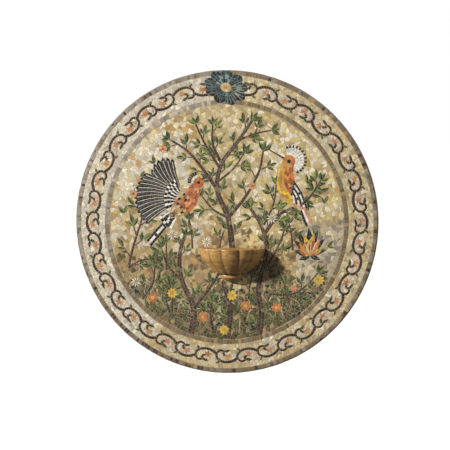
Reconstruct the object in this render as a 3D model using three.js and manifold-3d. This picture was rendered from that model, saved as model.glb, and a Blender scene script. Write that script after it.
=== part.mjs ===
// Round mosaic wall panel with a carved half basin.
// The back of the panel lies in the plane y = 0, the picture faces -Y and +Z is up.
// The origin is the centre of the back face. All lengths are in millimetres.

import * as THREE from 'three';
import Module from 'manifold-3d';
import { mergeVertices } from 'three/addons/utils/BufferGeometryUtils.js';

// Clearance between pieces that touch
const joint = 0.3;

// How far a cutting body runs past what it cuts, and how close vertices are one point
const cutOverrun = 1;
const mergeDistance = 1e-4;

// Backing slab
const panelRadius = 700;
const slabThickness = 28;
const lipWidth = 4.5;
const lipStepBack = 2;
const lipChamfer = 1.5;
const roundSegments = 72;

// Mosaic layer
const mosaicThickness = 12;
const stoneThickness = 8;
const outerCourseWidth = 18;
const borderWidth = 113;
const innerCourseWidth = 20;

// Scroll of the border: one unit, as shares of its pitch and of its swing from the middle of the band
const scrollUnits = 40;
const scrollSwing = 27;
const scrollLineWidth = 10;
const scrollUnit = [
  [-0.05, 0.36], [0.20, 0.86], [0.46, 1.03], [0.73, 0.86], [0.93, 0.28],
  [0.94, -0.48], [0.79, -0.97], [0.59, -0.78], [0.66, -0.30],
];

// Crest flower at the top of the border, which laps over the courses on both sides of the band
const crestHalfWidth = 104;
const crestLap = 24;
const crestTilt = -0.3;
const crestPetals = 9;
const crestPetalSteps = 4;
const crestNotch = 0.2;

// Meadow at the foot of the picture, its height as a share of the picture's radius
const meadowShare = 0.53;
const meadowSwell = 22;
const meadowWaves = 1.5;
const meadowSteps = 24;

// Basin
const basinCentre = 28;
const rimHeight = -117;
const bowlHalfWidth = 149;
const bowlReach = 113;
const bowlTaperDepth = 158;
const bowlTaperPower = 2;
const neckDepth = 119;
const bowlSteps = 7;
const neckStep = 4;
const neckHalfWidth = 54;
const bossHalfWidth = 52;
const bossDepth = 158;
const bossProfile = [[0.1, 0.96], [0.22, 1], [0.45, 1], [0.7, 0.8], [0.9, 0.48], [1, 0.2]];
const basinWall = 18;
const cavityDepth = 95;
const cavitySteps = 7;
const cavityFloorTurn = 0.48 * Math.PI;
const plateThickness = 16;
const plateMargin = 4;
const plateSteps = 6;
const plateFootShare = 0.9;
const rimBevel = 3;
const frontLobeAngle = 35;
const sideLobeAngle = 29;
const fluteDepth = 0.07;
const lobeSteps = 5;

const mosaicRadius = panelRadius - lipWidth - joint;
const borderOuter = mosaicRadius - outerCourseWidth - joint;
const borderInner = borderOuter - borderWidth;
const innerCourseOuter = borderInner - joint;
const fieldRadius = innerCourseOuter - innerCourseWidth - joint;
const borderMiddle = (borderInner + borderOuter) / 2;
const crestHalfHeight = borderWidth / 2 + crestLap;
const meadowHeight = -meadowShare * fieldRadius;
const mosaicFace = slabThickness + joint + mosaicThickness;

const wasm = await Module();
wasm.setup();

const colours = {
  slab: ['#8b8782', 0.9],
  outerCourse: ['#7f7668', 0.45],
  ground: ['#c7ba9f', 0.4],
  scroll: ['#3f3024', 0.4],
  innerCourse: ['#877861', 0.45],
  sky: ['#c5b892', 0.4],
  meadow: ['#6f6a4a', 0.45],
  crest: ['#3f5a58', 0.4],
  basin: ['#9c7748', 0.38],
};

const part = new THREE.Group();

function toSolid(geometry) {
  const plain = geometry.clone();
  plain.deleteAttribute('normal');
  plain.deleteAttribute('uv');
  const merged = mergeVertices(plain, mergeDistance);
  const vertProperties = new Float32Array(merged.attributes.position.array);
  const triVerts = new Uint32Array(merged.index.array);
  return new wasm.Manifold(new wasm.Mesh({ numProp: 3, vertProperties, triVerts }));
}

function toGeometry(solid) {
  const mesh = solid.getMesh();
  const geometry = new THREE.BufferGeometry();
  geometry.setAttribute('position', new THREE.BufferAttribute(new Float32Array(mesh.vertProperties), 3));
  geometry.setIndex(new THREE.BufferAttribute(new Uint32Array(mesh.triVerts), 1));
  return geometry;
}

// The cut round the petals can part a crumb from a ring: the ring is its largest body
function mainBody(solid) {
  const bodies = solid.decompose();
  return bodies.reduce((best, body) => (body.volume() > best.volume() ? body : best));
}

function addMesh(parent, name, geometry, [colour, roughness]) {
  const flat = geometry.index ? geometry.toNonIndexed() : geometry;
  flat.computeVertexNormals();
  const material = new THREE.MeshStandardMaterial({ color: colour, roughness, metalness: 0 });
  const mesh = new THREE.Mesh(flat, material);
  mesh.name = name;
  parent.add(mesh);
}

// A point at a clockwise angle from twelve o'clock, in the plane of the panel
function onDial(angle, radius) {
  return new THREE.Vector2(radius * Math.sin(angle), radius * Math.cos(angle));
}

// Slab with a narrow lip that holds the edge of the mosaic
function slabGeometry() {
  const lipTop = -(mosaicFace - lipStepBack);
  const lipInner = panelRadius - lipWidth;
  const profile = [
    [0, 0],
    [panelRadius, 0],
    [panelRadius, lipTop + lipChamfer],
    [panelRadius - lipChamfer, lipTop],
    [lipInner, lipTop],
    [lipInner, -slabThickness],
    [0, -slabThickness],
  ];
  const points = profile.map(([radius, depth]) => new THREE.Vector2(radius, depth));
  return new THREE.LatheGeometry(points.reverse(), roundSegments);
}

// Flat ring, its back at y = 0
function ringGeometry(inner, outer, thickness) {
  const profile = [[inner, 0], [inner, -thickness], [outer, -thickness], [outer, 0], [inner, 0]];
  const points = profile.map(([radius, depth]) => new THREE.Vector2(radius, depth));
  return new THREE.LatheGeometry(points, roundSegments);
}

function discGeometry(radius, thickness) {
  const geometry = new THREE.CylinderGeometry(radius, radius, thickness, roundSegments);
  return geometry.translate(0, -thickness / 2, 0);
}

// Flat inlay with this outline, its back at the depth given
function inlayGeometry(outline, back, thickness) {
  const geometry = new THREE.ExtrudeGeometry(new THREE.Shape(outline), {
    depth: thickness, bevelEnabled: false, steps: 1,
  });
  return geometry.rotateX(Math.PI / 2).translate(0, -back, 0);
}

// Cutting body with this outline, right through the mosaic layer
function cutterGeometry(outline) {
  return inlayGeometry(outline, -cutOverrun, mosaicThickness + 2 * cutOverrun);
}

// One turn of the scroll: the line swings out, then curls back into a hook
function scrollTurnOutline(place, side, grow) {
  const pitch = 2 * Math.PI / scrollUnits;
  const centre = scrollUnit.map(([share, swing]) =>
    onDial((place + share) * pitch, borderMiddle + side * swing * scrollSwing));
  const half = scrollLineWidth / 2 + grow;
  const left = [];
  const right = [];
  centre.forEach((point, i) => {
    const before = centre[Math.max(i - 1, 0)];
    const after = centre[Math.min(i + 1, centre.length - 1)];
    const along = after.clone().sub(before).normalize();
    const across = new THREE.Vector2(-along.y, along.x).multiplyScalar(half);
    const end = i === 0 ? -grow : i === centre.length - 1 ? grow : 0;
    const at = point.clone().addScaledVector(along, end);
    left.push(at.clone().add(across));
    right.unshift(at.clone().sub(across));
  });
  return [...left, ...right];
}

// The whole turns that fit between the two sides of the crest
function scrollSolid(grow, thickness) {
  const pitch = 2 * Math.PI / scrollUnits;
  const crestAngle = 2 * (crestHalfWidth + scrollLineWidth) / borderMiddle;
  const count = Math.floor((2 * Math.PI - crestAngle) / pitch);
  const start = (scrollUnits - count) / 2;
  let scroll = null;
  for (let index = 0; index < count; index += 1) {
    const side = index % 2 === 0 ? 1 : -1;
    const outline = scrollTurnOutline(start + index, side, grow);
    const turn = toSolid(inlayGeometry(outline, mosaicThickness - thickness, thickness));
    scroll = scroll ? scroll.add(turn) : turn;
  }
  return scroll;
}

// Crest flower: an oval of rounded petals with a notch between each two
function crestOutline(grow) {
  const steps = crestPetals * crestPetalSteps;
  const outline = [];
  for (let i = 0; i < steps; i += 1) {
    const angle = 2 * Math.PI * i / steps;
    const petal = Math.abs(Math.sin(angle * crestPetals / 2));
    const share = 1 - crestNotch * (1 - petal);
    const point = new THREE.Vector2(
      (crestHalfWidth * share + grow) * Math.cos(angle),
      (crestHalfHeight * share + grow) * Math.sin(angle),
    );
    point.rotateAround(new THREE.Vector2(0, 0), crestTilt);
    outline.push(point.add(new THREE.Vector2(0, borderMiddle)));
  }
  return outline;
}

// Meadow: everything in the field under a gently waving line
function meadowOutline(raise) {
  const outline = [];
  for (let i = 0; i <= meadowSteps; i += 1) {
    const share = i / meadowSteps;
    const x = (2 * share - 1) * panelRadius;
    const z = meadowHeight + meadowSwell * Math.sin(share * meadowWaves * 2 * Math.PI) + raise;
    outline.push(new THREE.Vector2(x, z));
  }
  outline.push(new THREE.Vector2(panelRadius, -panelRadius));
  outline.push(new THREE.Vector2(-panelRadius, -panelRadius));
  return outline.reverse();
}

// Edges of the lobes, in degrees round the front of the bowl from its right end to its left
function lobeEdges() {
  const front = [90 - frontLobeAngle / 2, 90 + frontLobeAngle / 2];
  return [0, front[0] - sideLobeAngle, ...front, front[1] + sideLobeAngle, 180];
}

// Plan of the bowl: an angle and the share of the full radius at each step
function lobePlan(depth) {
  const edges = lobeEdges();
  const plan = [];
  for (let lobe = 0; lobe + 1 < edges.length; lobe += 1) {
    for (let step = 0; step < lobeSteps; step += 1) {
      const share = step / lobeSteps;
      const degrees = edges[lobe] + share * (edges[lobe + 1] - edges[lobe]);
      plan.push([degrees * Math.PI / 180, 1 - depth * (1 - Math.sqrt(Math.sin(Math.PI * share)))]);
    }
  }
  plan.push([Math.PI, 1 - depth]);
  return plan;
}

// Closed half-round body with a flat back at y = 0: levels run from the top down
function lobedBody(levels) {
  const positions = [];
  const indices = [];
  const columns = lobePlan(0).length;
  const ringSize = columns + 1;
  for (const { drop, halfWidth, reach, flute } of levels) {
    for (const [angle, share] of lobePlan(flute)) {
      positions.push(halfWidth * share * Math.cos(angle));
      positions.push(-reach * share * Math.sin(angle));
      positions.push(-drop);
    }
    positions.push(0, 0, -drop);
  }
  const last = levels.length - 1;
  for (let level = 0; level < last; level += 1) {
    const top = level * ringSize;
    const low = top + ringSize;
    for (let i = 0; i < ringSize; i += 1) {
      const j = (i + 1) % ringSize;
      indices.push(top + i, top + j, low + i);
      indices.push(top + j, low + j, low + i);
    }
  }
  for (let i = 0; i + 1 < columns; i += 1) {
    indices.push(columns, i + 1, i);
    indices.push(last * ringSize + columns, last * ringSize + i, last * ringSize + i + 1);
  }
  const geometry = new THREE.BufferGeometry();
  geometry.setAttribute('position', new THREE.Float32BufferAttribute(positions, 3));
  geometry.setIndex(indices);
  return geometry;
}

function bowlShare(drop) {
  return 1 - (drop / bowlTaperDepth) ** bowlTaperPower;
}

// Outside of the bowl with its neck and boss
function bowlLevels() {
  const ratio = bowlReach / bowlHalfWidth;
  const bevelled = bowlHalfWidth - rimBevel;
  const levels = [{ drop: 0, halfWidth: bevelled, reach: bevelled * ratio, flute: fluteDepth }];
  const bodyDepth = neckDepth - neckStep - rimBevel;
  for (let i = 0; i <= bowlSteps; i += 1) {
    const drop = rimBevel + bodyDepth * i / bowlSteps;
    const halfWidth = bowlHalfWidth * bowlShare(drop);
    levels.push({ drop, halfWidth, reach: halfWidth * ratio, flute: fluteDepth });
  }
  levels.push({ drop: neckDepth, halfWidth: neckHalfWidth, reach: neckHalfWidth, flute: 0 });
  for (const [fall, share] of bossProfile) {
    const halfWidth = bossHalfWidth * share;
    const drop = neckDepth + (bossDepth - neckDepth) * fall;
    levels.push({ drop, halfWidth, reach: halfWidth, flute: 0 });
  }
  return levels;
}

// Hollow of the bowl, a quarter of an ellipsoid that reaches above the rim to cut clean
function cavityLevels() {
  const halfWidth = bowlHalfWidth - basinWall;
  const reach = bowlReach - basinWall - plateThickness;
  const flute = fluteDepth / 2;
  const levels = [{ drop: -cutOverrun, halfWidth, reach, flute }];
  for (let i = 0; i <= cavitySteps; i += 1) {
    const turn = cavityFloorTurn * i / cavitySteps;
    const share = Math.cos(turn);
    const drop = cavityDepth * Math.sin(turn);
    levels.push({ drop, halfWidth: halfWidth * share, reach: reach * share, flute });
  }
  return levels;
}

// Flat plate behind the bowl, a little wider than it, narrowing to the neck
function plateOutline() {
  const right = [];
  for (let i = 0; i < plateSteps; i += 1) {
    const share = i / plateSteps;
    const drop = neckDepth * share;
    const halfWidth = bowlHalfWidth * bowlShare(drop) + plateMargin * (1 - share);
    right.push(new THREE.Vector2(halfWidth, -drop));
  }
  right.push(new THREE.Vector2(neckHalfWidth * plateFootShare, -neckDepth));
  const left = right.map((point) => new THREE.Vector2(-point.x, point.y)).reverse();
  return [...left, ...right];
}

function basinSolid() {
  const bowl = toSolid(lobedBody(bowlLevels()));
  const plate = toSolid(inlayGeometry(plateOutline(), 0, plateThickness));
  const hollow = lobedBody(cavityLevels()).translate(0, -plateThickness, 0);
  return bowl.add(plate).subtract(toSolid(hollow));
}

function buildMosaic() {
  const layer = new THREE.Group();
  layer.position.y = -(slabThickness + joint);
  const crestCut = toSolid(cutterGeometry(crestOutline(joint)));
  const pocket = scrollSolid(joint, stoneThickness + joint);
  const scroll = scrollSolid(0, stoneThickness);
  const ring = (inner, outer) => toSolid(ringGeometry(inner, outer, mosaicThickness));
  const disc = toSolid(discGeometry(fieldRadius, mosaicThickness));
  const meadow = toSolid(cutterGeometry(meadowOutline(0)));
  const aboveMeadow = toSolid(cutterGeometry(meadowOutline(joint)));
  const outerCourse = ring(borderOuter + joint, mosaicRadius).subtract(crestCut);
  const borderGround = ring(borderInner, borderOuter).subtract(crestCut).subtract(pocket);
  const innerCourse = ring(fieldRadius + joint, innerCourseOuter).subtract(crestCut);
  const wholeLayer = toSolid(discGeometry(mosaicRadius, mosaicThickness));
  const crest = wholeLayer.intersect(toSolid(cutterGeometry(crestOutline(0))));
  const pieces = [
    ['outer_course', outerCourse, colours.outerCourse],
    ['border_ground', borderGround, colours.ground],
    ['border_scroll', scroll, colours.scroll],
    ['inner_course', innerCourse, colours.innerCourse],
    ['picture_ground', disc.subtract(crestCut).subtract(aboveMeadow), colours.sky],
    ['picture_meadow', disc.intersect(meadow), colours.meadow],
    ['crest_flower', crest, colours.crest],
  ];
  for (const [name, solid, look] of pieces) {
    addMesh(layer, name, toGeometry(mainBody(solid)), look);
  }
  return layer;
}

function buildBasin() {
  const basin = new THREE.Group();
  basin.position.set(basinCentre, -(mosaicFace + joint), rimHeight);
  addMesh(basin, 'basin', toGeometry(basinSolid()), colours.basin);
  return basin;
}

addMesh(part, 'backing_slab', slabGeometry(), colours.slab);
part.add(buildMosaic());
part.add(buildBasin());

export default part;
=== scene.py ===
import random
from math import atan2, cos, degrees, exp, floor, hypot, pi, radians, sin, sqrt

import bmesh
import bpy
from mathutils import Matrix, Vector, noise
from mathutils.geometry import delaunay_2d_cdt
from mathutils.kdtree import KDTree


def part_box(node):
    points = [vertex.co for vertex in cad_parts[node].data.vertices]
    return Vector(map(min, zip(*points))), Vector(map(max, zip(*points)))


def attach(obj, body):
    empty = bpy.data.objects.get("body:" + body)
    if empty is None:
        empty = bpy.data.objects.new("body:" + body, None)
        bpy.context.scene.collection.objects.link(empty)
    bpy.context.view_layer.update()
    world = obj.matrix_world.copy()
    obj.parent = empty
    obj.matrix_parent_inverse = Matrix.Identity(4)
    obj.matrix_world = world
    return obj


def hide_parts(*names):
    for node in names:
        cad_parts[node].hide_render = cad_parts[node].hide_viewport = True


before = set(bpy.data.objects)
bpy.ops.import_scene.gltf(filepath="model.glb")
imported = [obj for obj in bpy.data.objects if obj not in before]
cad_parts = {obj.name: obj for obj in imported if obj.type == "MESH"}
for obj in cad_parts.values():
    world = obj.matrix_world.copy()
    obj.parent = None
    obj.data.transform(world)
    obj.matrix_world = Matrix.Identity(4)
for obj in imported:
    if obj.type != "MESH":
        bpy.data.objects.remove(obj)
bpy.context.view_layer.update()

# Every length is in millimetres, and this turns it into Blender's metres
MM = 0.001
FULL_TURN = 2 * pi
draw = random.Random(20)
between = draw.uniform


def node_box(name):
    """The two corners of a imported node's box"""
    return [[value / MM for value in corner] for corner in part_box(name)]


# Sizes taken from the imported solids
slab_low, slab_high = node_box("backing_slab")
_, course_high = node_box("outer_course")
ground_low, ground_high = node_box("picture_ground")
basin_low, basin_high = node_box("basin")
PANEL_RADIUS = slab_high[0]
MOSAIC_RADIUS = course_high[0]
FACE = -ground_low[1]
BED_BACK = -ground_high[1]

# Widths of the rings, from the rim inwards, and the stones in the two courses
JOINT = 0.3
OUTER_COURSE = 18
BORDER = 113
INNER_COURSE = 20
BORDER_OUTER = MOSAIC_RADIUS - OUTER_COURSE - JOINT
BORDER_INNER = BORDER_OUTER - BORDER
BORDER_MIDDLE = (BORDER_OUTER + BORDER_INNER) / 2
COURSE_OUTER = BORDER_INNER - JOINT
FIELD_RADIUS = COURSE_OUTER - INNER_COURSE - JOINT
OUTER_COUNT = 288
INNER_COUNT = 240

# How the stones are cut and bedded
STONE_JOINT = 1.05
FINE_JOINT = 0.7
STONE_ARRIS = 0.7
ARRIS_DROP = 0.45
STONE_DEPTH = 5.5
MORTAR_DROP = 0.9
SMALLEST_STONE = 9
SLOPE = 0.005
UNEVEN = 0.35

# How close the ground's stones are laid, and the area above which one is split
BORDER_SPACING, BORDER_LARGEST = 17, 270
MEADOW_SPACING, MEADOW_LARGEST = 18, 260
FIELD_SPACING, FIELD_LARGEST = 26, 400
CLEAR_OF_FIGURES = 5.5
SCATTER = 0.34
SPLIT_COURSE_SHARE = 0.12
HOLLOW_TURN = -0.45

# Layers, where a higher one cuts a lower one
GROUND, GRASS, TWIG, LEAF, TRUNK, BIRD, FLOWER, COURSE, CREST = range(9)

# Vine scroll in the border, in shares of a unit and of its swing
SCROLL_UNITS = 40
SCROLL_TURNS = 37
SCROLL_START = 1.5
SCROLL_SWING = 27
SCROLL_WIDTH = 13
SCROLL_TAPER = 0.72
SCROLL_UNIT = [
    (-0.05, 0.36), (0.20, 0.86), (0.46, 1.03), (0.73, 0.86), (0.93, 0.28),
    (0.94, -0.48), (0.79, -0.97), (0.59, -0.78), (0.66, -0.30),
]
SCROLL_SPRIGS = [
    ((0.62, -0.74), (0.28, -1.02), 13, ("forest", "dark")),
    ((0.66, -0.36), (0.46, 0.02), 12, ("dark", "umber")),
    ((0.78, 0.80), (0.98, 1.34), 11, ("leaf", "moss")),
]

# Crest flower across the top of the border
CREST_HALF_WIDTH = 104
CREST_HALF_HEIGHT = 80.5
CREST_TILT = -0.3
CREST_PETALS = 9
CREST_PARTS = 3
CREST_NOTCH = 0.2
CREST_LEVELS = [0.25, 0.48, 0.72, 1.0]
CREST_EYE = 0.1

# Plants of the picture
BRANCH_STOUTNESS = 1.2
TWIG_CLOSENESS = 0.85
MISSING_TWIG_SHARE = 0.12
SHOOT_COUNT = 12
GRASS_COUNT = 120

# Line where the meadow starts
MEADOW_HEIGHT = -0.53 * FIELD_RADIUS
MEADOW_SWELL = 22
MEADOW_WAVES = 1.5


# Points on the face of the panel

def on_dial(turn, radius, centre=(0, 0)):
    """A point at a share of a turn, clockwise from the top"""
    angle = FULL_TURN * turn
    return centre[0] + radius * sin(angle), centre[1] + radius * cos(angle)


def ray(reach, angle, centre):
    return centre[0] + reach * cos(angle), centre[1] + reach * sin(angle)


def mix(first, second, share):
    return tuple(a + (b - a) * share for a, b in zip(first, second))


def distance(first, second):
    return hypot(first[0] - second[0], first[1] - second[1])


def bearing(first, second):
    return atan2(second[1] - first[1], second[0] - first[0])


def pairs(outline):
    """Each item of a closed list with the one after it"""
    return list(zip(outline, outline[1:] + outline[:1]))


def area_of(outline):
    return sum(a[0] * b[1] - b[0] * a[1] for a, b in pairs(outline)) / 2


def middle_of(outline):
    return tuple(sum(point[axis] for point in outline) / len(outline) for axis in (0, 1))


def smooth_points(points, steps=12):
    """Close points on a smooth curve that passes through the given points"""
    line = [mix(points[1], points[0], 2), *points, mix(points[-2], points[-1], 2)]
    fine = []
    for a, b, c, d in zip(line, line[1:], line[2:], line[3:]):
        for step in range(steps):
            t = step / steps
            fine.append(tuple(
                0.5 * (2 * q + (r - p) * t + (2 * p - 5 * q + 4 * r - s) * t**2
                       + (3 * q - p - 3 * r + s) * t**3)
                for p, q, r, s in zip(a, b, c, d)
            ))
    fine.append(points[-1])
    return fine


def even_points(line, spacing):
    """Points at an even spacing along a line, its two ends among them"""
    reach = [0]
    for a, b in zip(line, line[1:]):
        reach.append(reach[-1] + distance(a, b))
    count = max(1, round(reach[-1] / spacing))
    places, at = [], 0
    for index in range(count + 1):
        wanted = reach[-1] * index / count
        while at < len(line) - 2 and reach[at + 1] < wanted:
            at += 1
        span = reach[at + 1] - reach[at]
        places.append(mix(line[at], line[at + 1], (wanted - reach[at]) / span if span else 0))
    return places


def normal_to(a, b):
    """A unit vector across the way from one point to another"""
    length = distance(a, b) or 1
    return (a[1] - b[1]) / length, (b[0] - a[0]) / length


def normals_of(line):
    """A unit vector across a line at each of its points"""
    return [normal_to(a, b) for a, b in zip(line[:1] + line[:-1], line[1:] + line[-1:])]


def placed(origin, turned, scale=1, mirror=1):
    """A function that puts a figure's own points on the panel"""
    cosine, sine = cos(turned), sin(turned)

    def go(point):
        x, z = point[0] * mirror * scale, point[1] * scale
        return origin[0] + x * cosine - z * sine, origin[1] + x * sine + z * cosine

    return go


def cloud(*place):
    """A soft random value between -1 and 1 that changes slowly with the place"""
    return noise.noise(Vector(place))


# Choices of a stone

def one_of(names):
    return draw.choice(names.split())


def weighted(**shares):
    return draw.choices(list(shares), list(shares.values()))[0]


def always(stone):
    return lambda *place: stone


def barred(stone, bar):
    """Every fourth stone of a row is the bar"""
    return lambda number, row: stone if number % 4 else bar


def halves(pair):
    """One stone for each half of a leaf"""
    return lambda side: pair[0] if side > 0 else pair[1]


# Stones laid out flat, as outlines with a layer, a stone and the piece they belong to

stones = []


def lay(piece, stone, layer, outline):
    cleaned = []
    for point in outline:
        if not cleaned or distance(point, cleaned[-1]) > 0.05:
            cleaned.append(point)
    if distance(cleaned[0], cleaned[-1]) < 0.05:
        cleaned.pop()
    if len(cleaned) < 3:
        return
    if area_of(cleaned) < 0:
        cleaned.reverse()
    stones.append((piece, stone, layer, cleaned))


def lay_rows(piece, layer, place, last, rows, pick):
    """Rows of stones between two curves, where odd rows break joint"""
    for row in range(rows):
        cuts = sorted({0, last, *range(row % 2, last, 2)})
        for number, (start, stop) in enumerate(zip(cuts, cuts[1:])):
            places = range(start, stop + 1)
            near, far = ([place(index, level) for index in places] for level in (row, row + 1))
            lay(piece, pick(number, row), layer, near + far[::-1])


def band(piece, layer, points, widths, pick, spacing, rows=1):
    """Rows of stones along a smooth line that tapers"""
    line = even_points(smooth_points(points), spacing / 2)
    if len(line) % 2 == 0:
        line = even_points(smooth_points(points), spacing * len(line) / (len(line) + 1) / 2)
    across = normals_of(line)
    last = len(line) - 1

    def place(index, row):
        shift = (widths[0] + (widths[1] - widths[0]) * index / max(1, last)) * (row / rows - 0.5)
        return line[index][0] + across[index][0] * shift, line[index][1] + across[index][1] * shift

    lay_rows(piece, layer, place, last, rows, pick)


def leaf(piece, layer, base, angle, length, width, pick):
    """A leaf whose two halves meet along its rib"""
    go = placed(base, angle)
    bend = between(-0.07, 0.07) * length
    cuts = 3 if length > 40 else 2

    def place(share, side):
        half = width / 2 * sin(pi * share**0.85)
        return go((length * share, half * side + bend * sin(pi * share)))

    for side in (1, -1):
        for cut in range(cuts):
            start, stop = cut / cuts, (cut + 1) / cuts
            edge = [place(stop, side), place((start + stop) / 2, side), place(start, side)]
            lay(piece, pick(side), layer, [place(start, 0), place(stop, 0)] + edge)


def block(place, start, stop, low, high):
    """A stone's outline between two turns and two reaches, bent in its middle"""
    middle = (start + stop) / 2
    return [place(start, low), place(start, high), place(middle, high),
            place(stop, high), place(stop, low), place(middle, low)]


def arc_block(place, start, stop, low, high):
    """The same outline, but it starts at its outer edge"""
    outline = block(place, start, stop, low, high)
    return outline[1:] + outline[:1]


def lay_petal(centre, stone, outline):
    """A part of a flower, from pairs of turn and reach"""
    lay("flower_stones", stone, FLOWER, [on_dial(turn, reach, centre) for turn, reach in outline])


def lay_heart(centre, radius, stone, turned):
    for index in range(3):
        lay_petal(centre, stone, [(turned + (index + share) / 3, radius) for share in (0, 0.5, 1)] + [(0, 0)])


def blossom(centre, radius, petals, petal_stone, heart_stone):
    """A round flower with a heart and pointed petals"""
    heart = radius * 0.3
    turned = draw.random()
    lay_heart(centre, heart, heart_stone, turned)
    half = 0.5 / petals
    shoulder = radius * 0.7
    for index in range(petals):
        middle = turned + index / petals
        lay_petal(centre, petal_stone, [
            (middle - half, heart), (middle - half * 0.9, shoulder), (middle, radius),
            (middle + half * 0.9, shoulder), (middle + half, heart),
        ])


def star(centre, radius, count, stone, heart_stone):
    """A small flower of thin separate rays"""
    turned = draw.random()
    for index in range(count):
        middle = turned + index / count
        lay_petal(centre, stone, [(middle, 3), (middle - 0.034, radius * 0.55), (middle, radius),
                                  (middle + 0.034, radius * 0.55)])
    lay_heart(centre, 4.5, heart_stone, turned)


# The rings of the frame

def lay_course(piece, inner, outer, count, pick):
    """A course of nearly square stones, where a few are cut in two"""
    edges = [(index + between(-0.16, 0.16)) / count for index in range(count)]
    for start, stop in zip(edges, edges[1:] + [edges[0] + 1]):
        split = [(inner + outer) / 2 + between(-2, 2)] if draw.random() < SPLIT_COURSE_SHARE else []
        levels = [inner, *split, outer]
        for low, high in zip(levels, levels[1:]):
            lay(piece, pick(start % 1), COURSE, block(on_dial, start, stop, low, high))


def pick_course_stone(turn):
    # Darker stones at the lower left are painted shadow along the panel's edge
    if 0.55 < turn < 0.68:
        return weighted(grey_brown=30, brown=30, bark=28, umber=12)
    if turn > 0.6:
        return weighted(grey=34, grey_brown=24, grey_cool=34, bark=8)
    return weighted(grey=26, grey_brown=42, brown=20, bark=8, tan=4)


def pick_inner_stone(turn):
    # Pale grey stones at the upper left are a painted reflection of the light
    if turn > 0.8:
        return weighted(grey_pale=40, grey=20, grey_cool=40)
    if turn > 0.7:
        return weighted(grey=40, grey_cool=30, grey_brown=30)
    return weighted(grey_brown=40, brown=44, grey=6, tan=10)


def lay_scroll_unit(index):
    """A unit of the scroll with its sprigs and blossom, where every second unit swings outwards"""
    piece = "border_scroll_stones"
    outwards = 1 - 2 * (index % 2)

    def place(share, swing):
        turn = (SCROLL_START + index + share) / SCROLL_UNITS
        return on_dial(turn, BORDER_MIDDLE + outwards * swing * SCROLL_SWING)

    band(piece, TWIG, [place(*point) for point in SCROLL_UNIT], (SCROLL_WIDTH, SCROLL_WIDTH * SCROLL_TAPER),
         lambda number, row: weighted(umber=70, dark=30), 11)
    for start, stop, width, pair in SCROLL_SPRIGS:
        base, tip = place(*start), place(*stop)
        leaf(piece, LEAF, base, bearing(base, tip), distance(base, tip), width, halves(pair))
    heart = place(0.40, -0.10)
    turned = bearing(heart, place(0.36, 0.70))
    tint = one_of("orange orange_pale rose orange_pale amber")
    for petal in (-1, 0, 1):
        leaf(piece, FLOWER, heart, turned + petal * 0.85, 21 if petal else 24, 9.5,
             lambda side: tint if draw.random() < 0.75 else "amber")
    for petal in (-1, 1):
        leaf(piece, LEAF, heart, turned + petal * 1.9, 14, 6, always("rose"))


def crest_place(turn, share):
    """A point of the crest flower, at a share of a turn and of its reach"""
    angle = FULL_TURN * turn
    notch = 1 - CREST_NOTCH * (1 - abs(sin(CREST_PETALS * angle / 2))) if share > 0.5 else 1
    x, z = placed((0, BORDER_MIDDLE), CREST_TILT)((
        CREST_HALF_WIDTH * share * notch * cos(angle), CREST_HALF_HEIGHT * share * notch * sin(angle)))
    limit = min(1, MOSAIC_RADIUS / hypot(x, z))
    return x * limit, z * limit


def lay_crest():
    piece = "crest_flower_stones"
    for petal in range(CREST_PETALS):
        for low, high in zip(CREST_LEVELS, CREST_LEVELS[1:]):
            for part in range(CREST_PARTS):
                start = (petal + part / CREST_PARTS) / CREST_PETALS
                stop = (petal + (part + 1) / CREST_PARTS) / CREST_PETALS
                outline = block(crest_place, start, stop, low, high)
                # Black stones along the flower's lower edge are painted shade below it
                painted_shade_edge = high == CREST_LEVELS[-1] and outline[2][1] < BORDER_MIDDLE
                if painted_shade_edge and draw.random() < 0.62:
                    stone = "black"
                else:
                    stone = weighted(teal=52, teal_deep=32, teal_pale=8, black=8)
                lay(piece, stone, CREST, outline)
    for index in range(8):
        start, stop = index / 8, (index + 1) / 8
        lay(piece, "amber_pale" if index % 2 else "cream", CREST,
            arc_block(crest_place, start, stop, CREST_EYE, CREST_LEVELS[0]))
        eye = [crest_place(turn, CREST_EYE) for turn in (start, (start + stop) / 2, stop)]
        lay(piece, "amber", CREST, eye + [(0, BORDER_MIDDLE)])
    for index in range(11):
        reach = (0.36, 0.86) if index % 2 else (0.42, 0.94)
        stroke = [crest_place(0.80 + index * 0.032, share) for share in (reach[0], sum(reach) / 2, reach[1])]
        band(piece, CREST, stroke, (1.6, 3.4), always("teal_pale"), 16)


# The picture: trees, shrubs, birds and flowers of a plain garden

def pick_bark(number, row):
    return weighted(bark=46, bark_red=26, umber=18, grey_brown=10)


LEAF_PAIRS = [("leaf", "forest"), ("leaf", "forest"), ("bright", "forest"), ("bright", "leaf"),
              ("leaf", "moss")]


def lay_leaf(base, angle, shortest, longest, size=1.0):
    length = between(shortest, longest) * size
    pair = draw.choice(LEAF_PAIRS)
    if draw.random() < 0.5:
        pair = pair[::-1]
    leaf("tree_stones", LEAF, base, angle, length, length * between(0.34, 0.42), halves(pair))


def grow_twigs(points, every, side, reach, size):
    """Short twigs with leaves, on both sides of a branch by turns"""
    line = even_points(smooth_points(points), every)
    for root, across in list(zip(line, normals_of(line)))[1:-1]:
        side = -side
        if draw.random() < MISSING_TWIG_SHARE:
            continue
        angle = atan2(-across[0], across[1]) + side * between(0.55, 0.95)
        tip = ray(between(*reach), angle, root)
        if hypot(*tip) > FIELD_RADIUS - 18:
            continue
        band("tree_stones", TWIG, [root, mix(root, tip, 0.5), tip], (6.5, 4.2), pick_bark, 14)
        lay_leaf(ray(3, angle + side * 0.3, tip), angle, 34, 52, size)
        lay_leaf(mix(root, tip, 0.85), angle + 0.8, 28, 44, size)
        if draw.random() < 0.7:
            lay_leaf(mix(root, tip, 0.85), angle - 0.8, 28, 44, size)
        if draw.random() < 0.3:
            lay_leaf(mix(root, tip, 0.45), angle + draw.choice((-0.8, 0.8)), 20, 30, size)


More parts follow.
